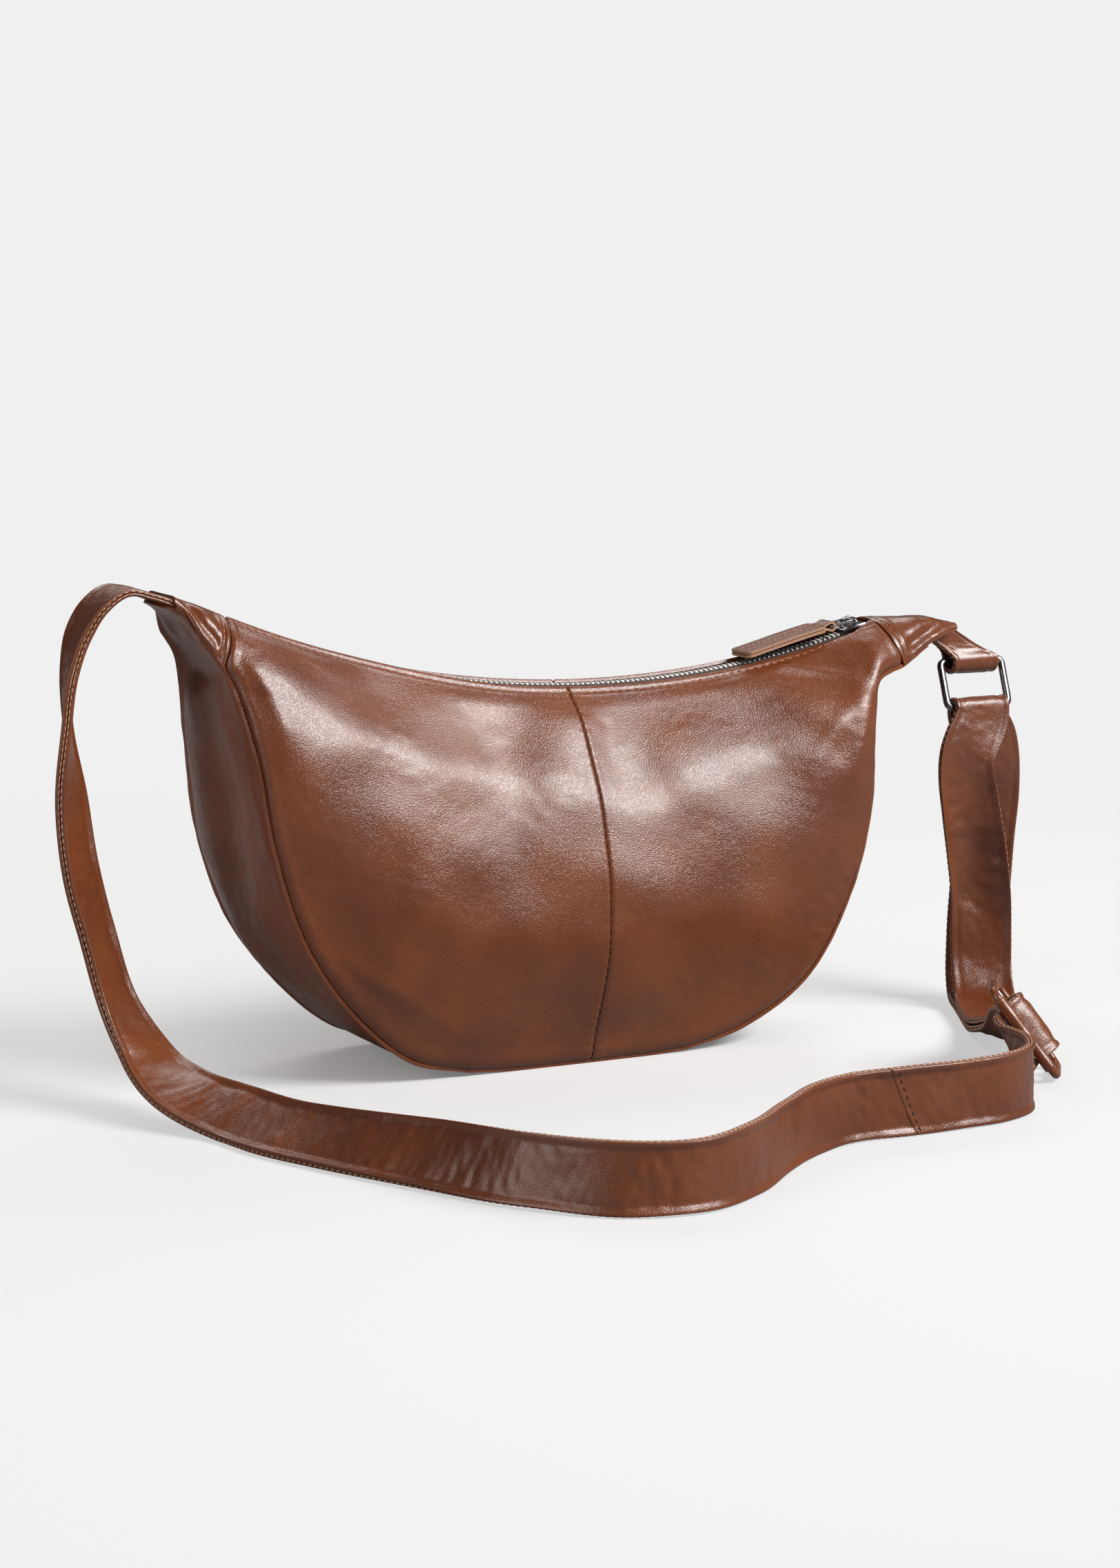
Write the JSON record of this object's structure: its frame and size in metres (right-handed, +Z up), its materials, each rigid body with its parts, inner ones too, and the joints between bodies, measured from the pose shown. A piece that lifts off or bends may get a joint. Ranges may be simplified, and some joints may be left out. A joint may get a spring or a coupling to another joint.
{
  "type": "mini bag",
  "caption": "Crescent leather bag with a curved top zip, a puller, and one long strap that passes through a slide and a ring.",
  "frame": {"origin": "middle of the bag's flat base, on the surface that it stands on", "axes": "+X along the bag to its right tip, which holds the ring; +Y to the bag's back; +Z up"},
  "size_m": [0.4856, 0.3409, 0.2183],
  "materials": {
    "front_panel_left": "smooth leather with a soft gloss",
    "front_panel_right": "smooth leather with a soft gloss",
    "back_panel_left": "smooth leather with a soft gloss",
    "back_panel_right": "smooth leather with a soft gloss",
    "gusset": "smooth leather with a soft gloss",
    "left_end_cap": "smooth leather with a soft gloss",
    "right_end_cap": "smooth leather with a soft gloss",
    "front_zip_tape": "woven, matt",
    "back_zip_tape": "woven, matt",
    "front_zip_teeth": "polished, dark gunmetal plating",
    "back_zip_teeth": "polished, dark gunmetal plating",
    "zip_bottom_stop": "polished, dark gunmetal plating",
    "zip_top_stop_front": "polished, dark gunmetal plating",
    "zip_top_stop_back": "polished, dark gunmetal plating",
    "lining_front": "woven, matt",
    "lining_back": "woven, matt",
    "lining_gusset": "woven, matt",
    "strap_root": "smooth leather with a soft gloss",
    "ring_tab": "smooth leather with a soft gloss",
    "slider_body": "polished, dark gunmetal plating",
    "slider_bridge": "polished, dark gunmetal plating",
    "pull_link": "polished, dark gunmetal plating",
    "pull_tab": "smooth leather with a soft gloss",
    "strap_main": "smooth leather with a soft gloss",
    "strap_tail": "smooth leather with a soft gloss",
    "strap_ring": "polished, dark gunmetal plating",
    "adjuster_frame": "polished, dark gunmetal plating",
    "adjuster_sleeve": "smooth leather with a soft gloss"
  },
  "bodies": {
    "bag": {"front_panel_left": "front_panel_left", "front_panel_right": "front_panel_right", "back_panel_left": "back_panel_left", "back_panel_right": "back_panel_right", "gusset": "gusset", "left_end_cap": "left_end_cap", "right_end_cap": "right_end_cap", "front_zip_tape": "front_zip_tape", "back_zip_tape": "back_zip_tape", "front_zip_teeth": "front_zip_teeth", "back_zip_teeth": "back_zip_teeth", "zip_bottom_stop": "zip_bottom_stop", "zip_top_stop_front": "zip_top_stop_front", "zip_top_stop_back": "zip_top_stop_back", "lining_front": "lining_front", "lining_back": "lining_back", "lining_gusset": "lining_gusset", "strap_root": "strap_root", "ring_tab": "ring_tab"},
    "zip_slider": {"slider_body": "slider_body", "slider_bridge": "slider_bridge"},
    "zip_pull": {"pull_link": "pull_link", "pull_tab": "pull_tab"},
    "strap": {"strap_main": "strap_main", "strap_tail": "strap_tail", "strap_ring": "strap_ring", "adjuster_frame": "adjuster_frame", "adjuster_sleeve": "adjuster_sleeve"}
  },
  "joints": [
    {"name": "zip_slide", "type": "hinge", "parent": "bag", "child": "zip_slider", "pos_m": [0.02321, 0, 0.64482], "axis": [0, 1, 0], "range_deg": [0, 37.22], "deforming": ["front_zip_teeth", "back_zip_teeth", "front_zip_tape", "back_zip_tape"]},
    {"name": "pull_flip", "type": "hinge", "parent": "zip_slider", "child": "zip_pull", "pos_m": [0.15102, 0, 0.18647], "axis": [0, 1, 0], "range_deg": [0, 150]},
    {"name": "strap_swing", "type": "hinge", "parent": "bag", "child": "strap", "pos_m": [-0.21094, 0, 0.21603], "axis": [-0.9929, 0, 0.119], "range_deg": [0, 110]}
  ]
}
